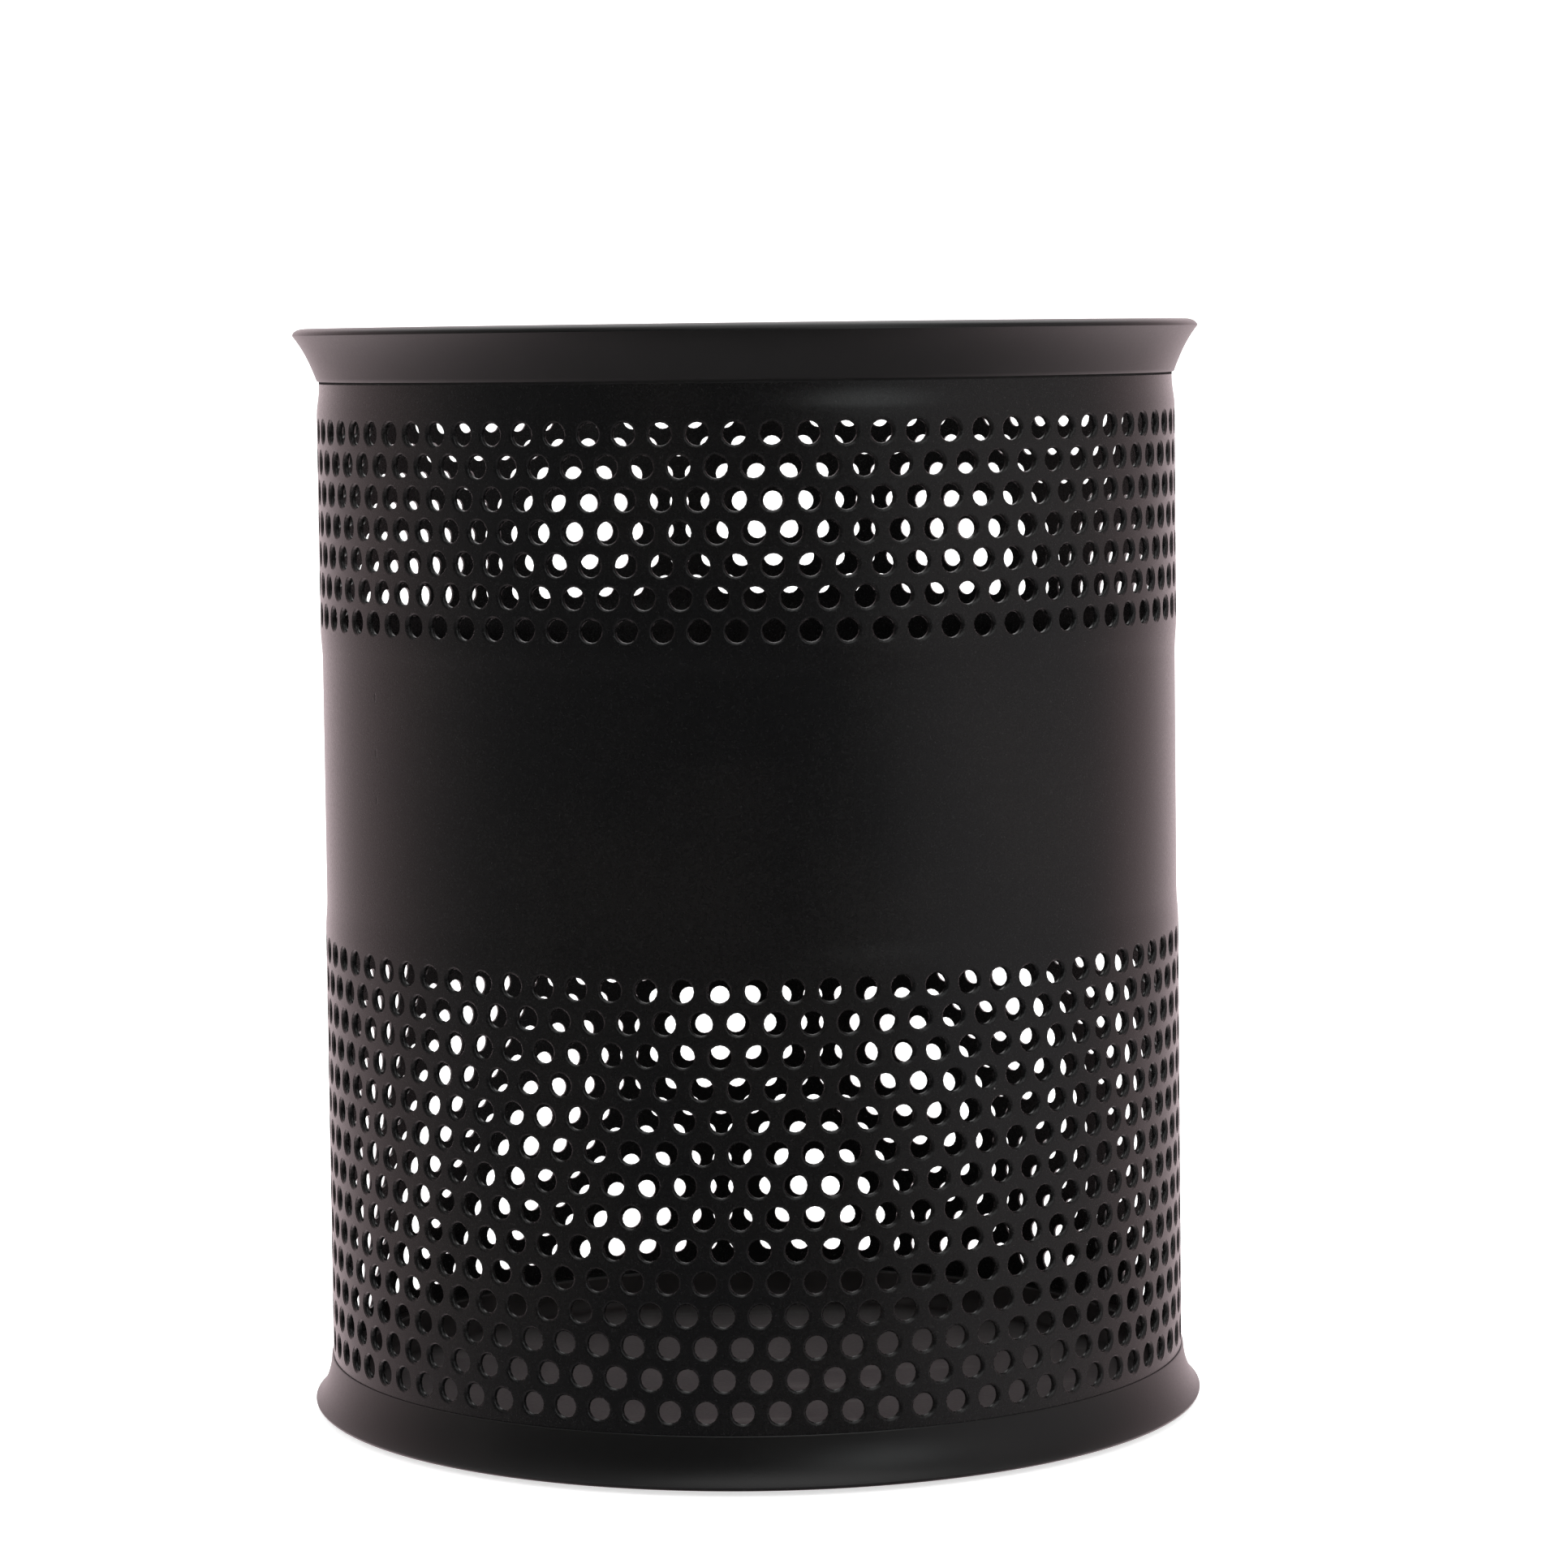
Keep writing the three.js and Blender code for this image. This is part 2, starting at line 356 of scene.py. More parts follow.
class Graph:
    """The nodes of one material, on the piece's own Object coordinates, or of the room's light."""

    def __init__(self, owner: bpy.types.Material | bpy.types.World, place: str = "Object") -> None:
        """Starts with no nodes but the coordinates.

        Args:
            owner: The material or world.
            place: The output of the coordinates that the nodes read.
        """
        self.owner = owner
        owner.use_nodes = True
        self.tree = owner.node_tree
        self.tree.nodes.clear()
        self.place = self.node("ShaderNodeTexCoord").outputs[place]
        split = self.node("ShaderNodeSeparateXYZ", inputs={"Vector": self.place})
        self.x, self.y, self.z = (Signal(self, out) for out in split.outputs)

    def node(
        self,
        kind: str,
        settings: dict[str, Any] | None = None,
        inputs: dict[Any, Any] | None = None,
    ) -> bpy.types.Node:
        """Adds one node, sets it up and then joins or fills its inputs.

        Args:
            kind: The node's type.
            settings: Its properties; stops are a ramp's (position, colour) pairs.
            inputs: Values, signals or sockets by input name or number.

        Returns:
            The new node.
        """
        made = self.tree.nodes.new(kind)
        for name, value in (settings or {}).items():
            if name == "stops":
                for i, (position, colour) in enumerate(value):
                    stops = made.color_ramp.elements
                    stop = stops[i] if i < len(stops) else stops.new(position)
                    stop.position, stop.color = position, colour
            else:
                setattr(made, name, value)
        for name, value in (inputs or {}).items():
            source = value.socket if isinstance(value, Signal) else value
            if isinstance(source, bpy.types.NodeSocket):
                self.tree.links.new(source, made.inputs[name])
            else:
                made.inputs[name].default_value = source
        return made

    def noise(self, size: float, detail: float = 2.0, stretch: Vector | None = None) -> Signal:
        """Noise whose grains have about that size.

        Args:
            size: The grain's size in metres.
            detail: How many finer layers it has.
            stretch: How much longer the grains are along each axis.

        Returns:
            The noise, from zero to one.
        """
        place: Any = self.place
        if stretch is not None:
            squeeze = {"Vector": place, "Scale": Vector(1 / s for s in stretch)}
            place = self.node("ShaderNodeMapping", {}, squeeze).outputs[0]
        made = self.node(
            "ShaderNodeTexNoise", {}, {"Vector": place, "Scale": 1 / size, "Detail": detail}
        )
        return Signal(self, made.outputs["Fac"])

    def specks(self, scatter: Scatter) -> Signal:
        """A mask of scattered specks.

        Args:
            scatter: How they are strewn.

        Returns:
            One on a speck, else zero.
        """
        cells = self.node(
            "ShaderNodeTexVoronoi", {}, {"Vector": self.place, "Scale": 1 / scatter.spacing}
        )
        colour = self.node("ShaderNodeSeparateColor", {}, {"Color": cells.outputs["Color"]})
        chance = Signal(self, colour.outputs[0])
        varied = Signal(self, colour.outputs[1])
        distance = Signal(self, cells.outputs["Distance"])
        largest = scatter.size / 2 / scatter.spacing
        radius = (varied * SPECK_VARIETY + (1 - SPECK_VARIETY)) * largest
        return (distance < radius) * (chance < scatter.share)

    def ramp(self, signal: Signal, stops: Sequence[tuple[float, Colour]]) -> bpy.types.NodeSocket:
        """Colours that follow a signal.

        Args:
            signal: The signal, from zero to one.
            stops: The signal's values and their colours.

        Returns:
            The colour's socket.
        """
        return self.node("ShaderNodeValToRGB", {"stops": stops}, {"Fac": signal}).outputs["Color"]

    def blend(self, mask: Number, under: Any, over: Any) -> bpy.types.NodeSocket:
        """Lays one colour over another where a mask is one.

        Args:
            mask: Where the upper colour shows.
            under: The lower colour, or a socket.
            over: The upper colour, or a socket.

        Returns:
            The mixed colour's socket.
        """
        inputs = {MIX_FACTOR: mask, MIX_UNDER: under, MIX_OVER: over}
        return self.node("ShaderNodeMix", {"data_type": "RGBA"}, inputs).outputs[MIX_RESULT]

    def bump(self, height: Signal, relief: Relief, below: Any = None) -> bpy.types.NodeSocket:
        """A bumped normal.

        Args:
            height: The pattern, from zero to one.
            relief: How deep it goes.
            below: The normal that it is laid on.

        Returns:
            The normal's socket.
        """
        inputs = {"Height": height, "Distance": relief.depth, "Strength": relief.strength}
        if below is not None:
            inputs["Normal"] = below
        return self.node("ShaderNodeBump", {}, inputs).outputs["Normal"]

    def surface(self, inputs: dict[str, Any]) -> bpy.types.Material:
        """Finishes the material with one Principled shader.

        Args:
            inputs: The shader's inputs by name.

        Returns:
            The material.
        """
        shader = self.node("ShaderNodeBsdfPrincipled", {}, inputs)
        self.node("ShaderNodeOutputMaterial", {}, {"Surface": shader.outputs[0]})
        return self.owner


# Finishes


@dataclass(frozen=True)
class SheetCoat:
    """Satin black powder coat on the sheet: orange peel, specks, pits, dents and a weld line."""

    colour: Colour = grey(0.0026, 0.0, 0.05)
    brown: Colour = grey(0.0036, 0.1, -0.03)
    dust: Colour = grey(0.11, 0.05)
    # Painted shade: near black laid into the pits and dents, standing in for the shade in those
    # hollows
    hollow_shade: Colour = grey(0.001)
    roughness: float = 0.27
    specular: float = 0.5
    drift_size: float = 26 * MM
    drift_cover: tuple[float, float] = (0.62, 0.4)
    drift_dullness: float = 0.08
    peel_size: float = 1.6 * MM
    peel_relief: Relief = Relief(0.007 * MM, 0.5)
    grain_size: float = 0.3 * MM
    grain_relief: Relief = Relief(0.003 * MM, 0.6)
    grain_dullness: float = 0.12
    dust_scatter: Scatter = Scatter(2.6 * MM, 0.16 * MM, 0.02)
    pit_scatter: Scatter = Scatter(3.4 * MM, 0.34 * MM, 0.04)
    pit_relief: Relief = Relief(0.05 * MM, 0.7)
    pit_dullness: float = 0.3
    joint_height: float = 95.98 * MM
    joint_half_width: float = 0.066 * MM
    joint_reach: float = 0.132 * MM
    joint_dullness: float = 0.7
    weld_width: float = 0.9 * MM
    weld_relief: Relief = Relief(0.05 * MM, 0.7)
    weld_dullness: float = 0.06
    dent_angle: float = -57.2
    dent_heights: tuple[float, ...] = (68.0 * MM, 63.0 * MM, 58.8 * MM)
    dent_width: float = 0.28 * MM
    dent_length: float = 0.8 * MM
    dent_edge: tuple[float, float] = (0.12, 0.3)
    dent_relief: Relief = Relief(0.2 * MM, 1.0)

    def material(self, radius: float) -> bpy.types.Material:
        """Builds the coat.

        Args:
            radius: The radius of the sheet's face.

        Returns:
            The material.
        """
        graph = Graph(bpy.data.materials.new("shell_powder_coat"))
        drift = graph.noise(self.drift_size, detail=3.0)
        peel = graph.noise(self.peel_size)
        grain = graph.noise(self.grain_size)
        dust = graph.specks(self.dust_scatter)
        pits = graph.specks(self.pit_scatter)
        dents = self.dents(graph, radius)
        weld_line = abs(graph.x).fade(0.0, self.weld_width) * (graph.y > 0.0)
        joint = abs(graph.z - self.joint_height).fade(self.joint_half_width, self.joint_reach)
        base = graph.blend(drift.fade(*self.drift_cover), self.colour, self.brown)
        base = graph.blend(dust, base, self.dust)
        # Painted shade: the pits and dents are darkened to stand for the shade that falls in them
        base = graph.blend(dents + pits, base, self.hollow_shade)
        normal = graph.bump(peel, self.peel_relief)
        normal = graph.bump(grain, self.grain_relief, normal)
        normal = graph.bump(weld_line, self.weld_relief, normal)
        normal = graph.bump(1 - dents, self.dent_relief, normal)
        normal = graph.bump(1 - pits, self.pit_relief, normal)
        rough = self.roughness + grain.swing(self.grain_dullness) + drift.swing(self.drift_dullness)
        rough = rough + weld_line * self.weld_dullness
        rough = rough + joint * self.joint_dullness + pits * self.pit_dullness
        return graph.surface(
            {
                "Base Color": base,
                "Roughness": rough,
                "Normal": normal,
                "Specular IOR Level": self.specular,
            }
        )

    def dents(self, graph: Graph, radius: float) -> Signal:
        """The small marks, one above another, on the left of the plain stretch.

        Args:
            graph: The material's nodes.
            radius: The radius of the sheet's face.

        Returns:
            One inside a mark, else zero.
        """
        angle = math.radians(self.dent_angle)
        across = (graph.x - radius * math.sin(angle)) / (self.dent_width * math.cos(angle))
        masks = []
        for height in self.dent_heights:
            up = (graph.z - height) / self.dent_length
            spot = (across * across + up * up).fade(*self.dent_edge)
            masks.append(spot * (graph.y < 0.0))
        return sum(masks[1:], masks[0])


@dataclass(frozen=True)
class RingGrain:
    """Matte black moulding with a fine grain, a few pits and specks."""

    colour: Colour = grey(0.003, 0.03)
    worn: Colour = grey(0.0042, 0.06, -0.02)
    dust: Colour = grey(0.13, 0.05)
    # Painted shade: near black laid into the pits, standing in for the shade in those hollows
    hollow_shade: Colour = grey(0.002)
    roughness: float = 0.33
    specular: float = 0.5
    drift_size: float = 18 * MM
    drift_cover: tuple[float, float] = (0.64, 0.42)
    drift_dullness: float = 0.08
    grain_size: float = 0.18 * MM
    grain_relief: Relief = Relief(0.008 * MM, 0.6)
    grain_dullness: float = 0.16
    swell_size: float = 2.4 * MM
    swell_relief: Relief = Relief(0.016 * MM, 0.4)
    dust_scatter: Scatter = Scatter(2.2 * MM, 0.2 * MM, 0.03)
    pit_scatter: Scatter = Scatter(3.1 * MM, 0.3 * MM, 0.05)
    pit_relief: Relief = Relief(0.06 * MM, 0.8)

    def material(self, name: str) -> bpy.types.Material:
        """Builds the moulding's finish.

        Args:
            name: The material's name.

        Returns:
            The material.
        """
        graph = Graph(bpy.data.materials.new(name))
        drift = graph.noise(self.drift_size, detail=3.0)
        grain = graph.noise(self.grain_size, detail=3.0)
        swell = graph.noise(self.swell_size)
        dust = graph.specks(self.dust_scatter)
        pits = graph.specks(self.pit_scatter)
        base = graph.blend(drift.fade(*self.drift_cover), self.colour, self.worn)
        base = graph.blend(dust, base, self.dust)
        # Painted shade: the pits are darkened to stand for the shade that falls in them
        base = graph.blend(pits, base, self.hollow_shade)
        normal = graph.bump(swell, self.swell_relief)
        normal = graph.bump(grain, self.grain_relief, normal)
        normal = graph.bump(1 - pits, self.pit_relief, normal)
        rough = self.roughness + grain.swing(self.grain_dullness) + drift.swing(self.drift_dullness)
        return graph.surface(
            {
                "Base Color": base,
                "Roughness": rough,
                "Normal": normal,
                "Specular IOR Level": self.specular,
            }
        )


@dataclass(frozen=True)
class FloorCoat:
    """Duller dark grey coat on the pressed floor, with dust and faint rub marks."""

    colour: Colour = grey(0.015, 0.14, -0.02)
    dusty: Colour = grey(0.027, 0.14, -0.02)
    dust: Colour = grey(0.16, 0.06)
    roughness: float = 0.5
    specular: float = 0.22
    drift_size: float = 9 * MM
    drift_cover: tuple[float, float] = (0.66, 0.4)
    grain_size: float = 0.3 * MM
    grain_relief: Relief = Relief(0.01 * MM, 0.6)
    grain_dullness: float = 0.14
    rub_size: float = 5 * MM
    rub_stretch: tuple[float, float, float] = (6.0, 1.0, 1.0)
    rub_cover: tuple[float, float] = (0.7, 0.58)
    rub_gloss: float = 0.1
    dust_scatter: Scatter = Scatter(2.0 * MM, 0.25 * MM, 0.08)

    def material(self) -> bpy.types.Material:
        """Builds the floor's finish.

        Returns:
            The material.
        """
        graph = Graph(bpy.data.materials.new("floor_powder_coat"))
        drift = graph.noise(self.drift_size, detail=4.0)
        grain = graph.noise(self.grain_size)
        rubs = graph.noise(self.rub_size, detail=3.0, stretch=Vector(self.rub_stretch))
        dust = graph.specks(self.dust_scatter)
        base = graph.blend(drift.fade(*self.drift_cover), self.colour, self.dusty)
        base = graph.blend(dust, base, self.dust)
        normal = graph.bump(grain, self.grain_relief)
        rough = self.roughness + grain.swing(self.grain_dullness)
        rough = rough - rubs.fade(*self.rub_cover) * self.rub_gloss
        return graph.surface(
            {
                "Base Color": base,
                "Roughness": rough,
                "Normal": normal,
                "Specular IOR Level": self.specular,
            }
        )


# The rolled sheet


@dataclass
class PerforatedSheet:
    """The shell: a punched blank, modelled flat from one cell and rolled into a tube.

    The blank lies in the XZ plane with its outside towards -Y, and rolls so that x becomes
    the way round the cup.
    """

    node: str = "perforated_shell"
    name: str = "shell_perforated_sheet"
    columns: int = 78
    lower_rows: int = 14
    upper_rows: int = 7
    row_pitch: float = 2.82 * MM
    hole_diameter: float = 2.0 * MM
    hole_sides: int = 16
    edge_roll: float = 0.25 * MM
    hole_reach: float = 1.2
    thickness: float = 0.5 * MM
    band_radius: float = 40.0 * MM
    band_swell: float = 0.15 * MM
    swell_run_out: float = 3.0 * MM
    neck_run_out: float = 2.6 * MM
    rim_neck: float = 0.1 * MM
    ease_steps: int = 5
    first_row: float = 6.95 * MM
    upper_first_row: float = 74.64 * MM
    foot: float = 1.6 * MM
    head: float = 98.5 * MM
    lower_phase: float = 0.553
    upper_phase: float = 0.651
    sharpest: float = 52.0
    finish: SheetCoat = field(default_factory=SheetCoat)

    @property
    def pitch(self) -> float:
        """The distance from hole to hole along a row."""
        return FULL_TURN * self.band_radius / self.columns

    def punched_cell(self) -> bpy.types.Object:
        """One hole and its share of the sheet, both faces of it.

        Returns:
            The cell, centred on the hole.
        """
        upright = (math.radians(90), 0, 0)
        deselect_objects()
        bpy.ops.mesh.primitive_grid_add(
            x_subdivisions=2, y_subdivisions=2, size=1, rotation=upright
        )
        cell = bpy.context.active_object
        bpy.ops.object.transform_apply(location=False, rotation=True, scale=False)
        radius = self.hole_diameter / 2
        with editing(cell):
            bpy.ops.mesh.select_all(action="SELECT")
            bpy.ops.transform.resize(value=(self.pitch, 1, self.row_pitch))
            bpy.ops.mesh.dissolve_faces()
            bpy.ops.mesh.delete(type="ONLY_FACE")
            bpy.ops.mesh.primitive_circle_add(
                vertices=self.hole_sides, radius=radius + self.edge_roll, rotation=upright
            )
            bpy.ops.mesh.select_all(action="SELECT")
            bpy.ops.mesh.bridge_edge_loops()
            bpy.ops.mesh.select_all(action="SELECT")
            bpy.ops.mesh.duplicate_move(TRANSFORM_OT_translate={"value": (0, self.thickness, 0)})
            self.narrow_hole(self.thickness)
            pick(Pick.VERTICES, lambda p: near(p.y, 0) and self.on_hole(p))
            draw_out(y=self.edge_roll)
            self.narrow_hole(self.edge_roll)
            pick(Pick.VERTICES, lambda p: p.y > self.edge_roll / 2 and self.on_hole(p))
            bpy.ops.mesh.bridge_edge_loops()
        return cell

    def on_hole(self, point: Vector) -> bool:
        """Tells whether a point of the cell lies on its hole's edge and not on its border."""
        reach = self.hole_diameter / 2 + self.hole_reach * self.edge_roll
        return math.hypot(point.x, point.z) < reach

    def narrow_hole(self, depth: float) -> None:
        """Draws the hole in from its rolled mouth to its bore at one depth.

        Args:
            depth: How far behind the sheet's face the hole's edge lies.
        """
        narrower = self.hole_diameter / (self.hole_diameter + 2 * self.edge_roll)
        pick(Pick.VERTICES, lambda p: near(p.y, depth) and self.on_hole(p))
        bpy.ops.transform.resize(value=(narrower, 1, narrower), center_override=(0, depth, 0))

    def band(self, rows: int, first_row: float, start: float) -> bpy.types.Object:
        """A band of staggered rows, each row copied half a pitch on from the one below.

        Args:
            rows: How many rows the band has.
            first_row: The height of its lowest row of holes.
            start: Where that row's first hole lies, in pitches from the front.

        Returns:
            The band, flat.
        """
        cell = self.punched_cell()
        with editing(cell):
            bpy.ops.mesh.select_all(action="SELECT")
            shift(x=start * self.pitch, z=first_row)
        by_distance = {"use_relative_offset": False, "use_constant_offset": True}
        for count, offset in (
            (self.columns, (self.pitch, 0, 0)),
            (rows, (self.pitch / 2, 0, self.row_pitch)),
        ):
            settings = {**by_distance, "constant_offset_displace": offset, "count": count}
            apply_modifier(cell, "ARRAY", settings)
        with editing(cell):
            weld()
        return cell

    def ease(self, up: float, inwards: float) -> list[tuple[float, float]]:
        """Steps along a soft S from one radius to another.

        Args:
            up: How far the whole stretch goes up.
            inwards: How far it goes in.

        Returns:
            Each step's rise and draw.
        """
        turns = [math.pi * i / self.ease_steps for i in range(self.ease_steps + 1)]
        along = [(1 - math.cos(turn)) / 2 for turn in turns]
        shares = [b - a for a, b in zip(along, along[1:])]
        return [(up / self.ease_steps, inwards * share) for share in shares]

    def pull(self, level: float, steps: Sequence[tuple[float, float]]) -> float:
        """Draws the sheet's open edge at one height on through the heights and depths given.

        Args:
            level: The height of the open edge.
            steps: How far each stretch goes up and inwards.

        Returns:
            The height that the edge has come to.
        """
        pick(Pick.VERTICES, lambda p: near(p.z, level))
        for up, inwards in steps:
            draw_out(y=inwards, z=up)
            level += up
        return level

    def close_edge(self, level: float, depth: float) -> None:
        """Closes the sheet's thickness along an open edge.

        Args:
            level: The height of the edge.
            depth: How far in from the bands' face its outside lies.
        """
        pick(Pick.VERTICES, lambda p: near(p.z, level) and near(p.y, depth))
        draw_out(y=self.thickness)
        weld()

    def build(self) -> bpy.types.Object:
        """Models the blank, rolls it and closes it.

        Returns:
            The finished shell, dressed and riding on the cup.
        """
        half_row = self.row_pitch / 2
        lower = self.band(self.lower_rows, self.first_row, self.lower_phase)
        upper_start = self.lower_rows / 2 + self.upper_phase
        upper = self.band(self.upper_rows, self.upper_first_row, upper_start)
        lower_bottom = self.first_row - half_row
        lower_top = lower_bottom + self.lower_rows * self.row_pitch
        upper_bottom = self.upper_first_row - half_row
        upper_top = upper_bottom + self.upper_rows * self.row_pitch
        run_out = self.swell_run_out
        neck = self.band_swell + self.rim_neck
        activate(lower)
        upper.select_set(True)
        bpy.ops.object.join()
        shell = bpy.context.active_object
        with editing(shell):
            self.pull(lower_bottom, [(self.foot - lower_bottom, 0.0)])
            self.close_edge(self.foot, 0.0)
            at = self.pull(lower_top, self.ease(run_out, self.band_swell))
            plain = upper_bottom - run_out - at
            at = self.pull(at, [(plain, 0.0)])
            shift(x=(self.upper_phase - self.lower_phase) * self.pitch)
            at = self.pull(at, self.ease(run_out, -self.band_swell))
            at = self.pull(upper_top, self.ease(self.neck_run_out, neck))
            at = self.pull(at, [(self.head - at, 0.0)])
            self.close_edge(self.head, neck)
            weld()
        self.roll(shell)
        smooth_by_angle(shell, self.sharpest)
        self.keep_lands_flat(shell)
        coat = self.finish.material(self.band_radius - self.band_swell)
        return finish_piece(shell, self.name, self.node, coat)

    def keep_lands_flat(self, shell: bpy.types.Object) -> None:
        """Shades the sheet between the holes by its own faces, so that only the edges round off.

        Args:
            shell: The rolled shell.
        """
        margin = self.edge_roll / 4
        outer = self.band_radius - margin
        inner = self.band_radius - self.thickness + margin
        with editing(shell):
            pick(Pick.FACES, lambda p: not inner < math.hypot(p.x, p.y) < outer)
            bpy.ops.mesh.set_normals_from_faces(keep_sharp=True)

    def roll(self, shell: bpy.types.Object) -> None:
        """Rolls the flat blank about the cup's axis.

        Args:
            shell: The blank.
        """
        span = [corner[0] for corner in shell.bound_box]
        turn = (max(span) - min(span)) / self.band_radius
        settings = {"deform_method": "BEND", "deform_axis": "Z", "angle": turn}
        apply_modifier(shell, "SIMPLE_DEFORM", settings)
        with editing(shell):
            bpy.ops.mesh.select_all(action="SELECT")
            shift(y=-self.band_radius)
            weld()
            face_outwards()


# The turned pieces


@dataclass
class SpunPiece:
    """A piece turned about the cup's axis from a section drawn point by point."""

    node: str = ""
    name: str = ""
    slot: Slot = Slot.RINGS
    turns: int = 256
    sharpest: float = 38.0

    def section(self) -> Section:
        """The section's points, as (radius, height), round the outline.

        Returns:
            The points in order.
        """
        raise NotImplementedError

    def finish(self) -> bpy.types.Material:
        """The piece's finish.

        Returns:
            The material.
        """
        raise NotImplementedError

    def build(self) -> bpy.types.Object:
        """Draws the section, spins it and dresses it.

        Returns:
            The finished piece.
        """
        points = self.section()
        open_ended = near(points[0][0], 0)
        first = Vector((points[0][0], 0, points[0][1]))
        deselect_objects()
        bpy.ops.mesh.primitive_plane_add(size=MM, location=first)
        piece = bpy.context.active_object
        bpy.ops.object.transform_apply(location=True, rotation=False, scale=False)
        with editing(piece):
            bpy.ops.mesh.select_all(action="SELECT")
            bpy.ops.mesh.merge(type="CENTER")
            for (r0, z0), (r1, z1) in zip(points, points[1:]):
                draw_out(x=r1 - r0, z=z1 - z0)
            if not open_ended:
                draw_out(x=points[0][0] - points[-1][0], z=points[0][1] - points[-1][1])
                weld()
            bpy.ops.mesh.select_all(action="SELECT")
            bpy.ops.mesh.spin(
                steps=self.turns, angle=FULL_TURN, center=(0, 0, 0), axis=(0, 0, 1)
            )
            weld()
            face_outwards()
        smooth_by_angle(piece, self.sharpest)
        return finish_piece(piece, self.name, self.node, self.finish())


@dataclass
class BaseRing(SpunPiece):
    """The flared ring that grips the sheet's lower edge and stands on the table."""

    node: str = "base_ring"
    name: str = "base_ring_moulding"
    height: float = 5.0 * MM
    widest_radius: float = 41.7 * MM
    widest_height: float = 0.85 * MM
    toe: float = 0.35 * MM
    foot_inset: float = 3.9 * MM
    edge_radius: float = 40.15 * MM
    groove_outer: float = 40.02 * MM
    groove_inner: float = 39.45 * MM
    groove_floor: float = 1.6 * MM
    bore: float = 38.35 * MM
    inner_height: float = 4.2 * MM
    ledge_height: float = 0.6 * MM
    ledge_width: float = 2.2 * MM
    edge_round: float = 0.06 * MM
    lower_handle: tuple[float, float] = (0.62, 0.11)
    upper_handle: tuple[float, float] = (0.1, 0.42)

    def section(self) -> Section:
        """The ring's section: foot, raised underside, toe, flare, groove, inner wall and ledge.

        Returns:
            The points in order.
        """
        overhang = self.widest_radius - self.edge_radius
        reach = self.height - self.widest_height
        toe = (self.widest_radius - self.toe, self.widest_height - self.toe)
        turn_up = curve(
            toe,
            (toe[0] + self.toe * ROUND, toe[1]),
            (self.widest_radius, self.widest_height - self.toe * ROUND),
            (self.widest_radius, self.widest_height),
            steps=ROUND_STEPS,
        )
        handles = [
            (self.edge_radius + overhang * out, self.widest_height + reach * up)
            for out, up in (self.lower_handle, self.upper_handle)
        ]
        flare = curve(
            (self.widest_radius, self.widest_height),
            *handles,
            (self.edge_radius, self.height - self.edge_round),
            steps=FLARE_STEPS,
        )
        return [
            (self.bore - self.ledge_width, 0.0),
            (self.widest_radius - self.foot_inset, 0.0),
            *turn_up,
            *flare[1:],
            (self.edge_radius - self.edge_round, self.height),
            (self.groove_outer, self.height),
            (self.groove_outer, self.groove_floor),
            (self.groove_inner, self.groove_floor),
            (self.groove_inner, self.inner_height - self.edge_round),
            (self.groove_inner - self.edge_round, self.inner_height),
            (self.bore + self.edge_round, self.inner_height),
            (self.bore, self.inner_height - self.edge_round),
            (self.bore, self.ledge_height),
            (self.bore - self.ledge_width, self.ledge_height),
        ]

    def finish(self) -> bpy.types.Material:
        """The ring's matte moulding."""
        return RingGrain().material("base_ring_grain")


@dataclass
class TopRim(SpunPiece):
    """The flared rim that grips the sheet's upper edge, with its rounded lip."""

    node: str = "top_rim"
    name: str = "top_rim_moulding"
    lower_edge: float = 96.1 * MM
    top: float = 101.0 * MM
    widest_radius: float = 42.15 * MM
    lip_height: float = 0.65 * MM
    lip_width: float = 1.1 * MM
    edge_radius: float = 39.95 * MM
    groove_outer: float = 39.8 * MM
    groove_inner: float = 39.15 * MM
    groove_top: float = 98.5 * MM
    bore: float = 38.2 * MM
    skirt: float = 1.0 * MM
    funnel_wall: float = 0.4 * MM
    crest_width: float = 1.1 * MM
    crest_fall: float = 0.2 * MM
    edge_round: float = 0.06 * MM
    lower_handle: tuple[float, float] = (0.23, 0.33)
    upper_handle: tuple[float, float] = (0.49, 0.67)

    def section(self) -> Section:
        """The rim's section: groove, hollow flare, lip, funnel and skirt.

        Returns:
            The points in order.
        """
        widest_height = self.top - self.lip_height
        width = self.widest_radius - self.edge_radius
        height = widest_height - self.lower_edge
        crest = self.widest_radius - self.lip_width
        handles = [
            (self.edge_radius + width * out, self.lower_edge + height * up)
            for out, up in (self.lower_handle, self.upper_handle)
        ]
        flare = curve(
            (self.edge_radius, self.lower_edge + self.edge_round),
            *handles,
            (self.widest_radius, widest_height),
            steps=FLARE_STEPS,
        )
        lip = curve(
            (self.widest_radius, widest_height),
            (self.widest_radius, widest_height + self.lip_height * ROUND),
            (crest + self.lip_width * ROUND, self.top),
            (crest, self.top),
            steps=LIP_STEPS,
        )
        shoulder = (crest - self.crest_width, self.top - self.crest_fall)
        throat = (self.bore, self.groove_top + self.funnel_wall)
        funnel = curve(
            shoulder,
            (shoulder[0] - self.crest_width * ROUND, shoulder[1] - self.crest_fall),
            (throat[0], throat[1] + self.crest_width * ROUND),
            throat,
            steps=ROUND_STEPS,
        )
        return [
            (self.bore + self.edge_round, self.lower_edge - self.skirt),
            (self.groove_inner - self.edge_round, self.lower_edge - self.skirt),
            (self.groove_inner, self.lower_edge - self.skirt + self.edge_round),
            (self.groove_inner, self.groove_top),
            (self.groove_outer, self.groove_top),
            (self.groove_outer, self.lower_edge),
            (self.edge_radius - self.edge_round, self.lower_edge),
            *flare,
            *lip[1:],
            *funnel,
            (self.bore, self.lower_edge - self.skirt + self.edge_round),
        ]

    def finish(self) -> bpy.types.Material:
        """The rim's matte moulding."""
        return RingGrain().material("top_rim_grain")


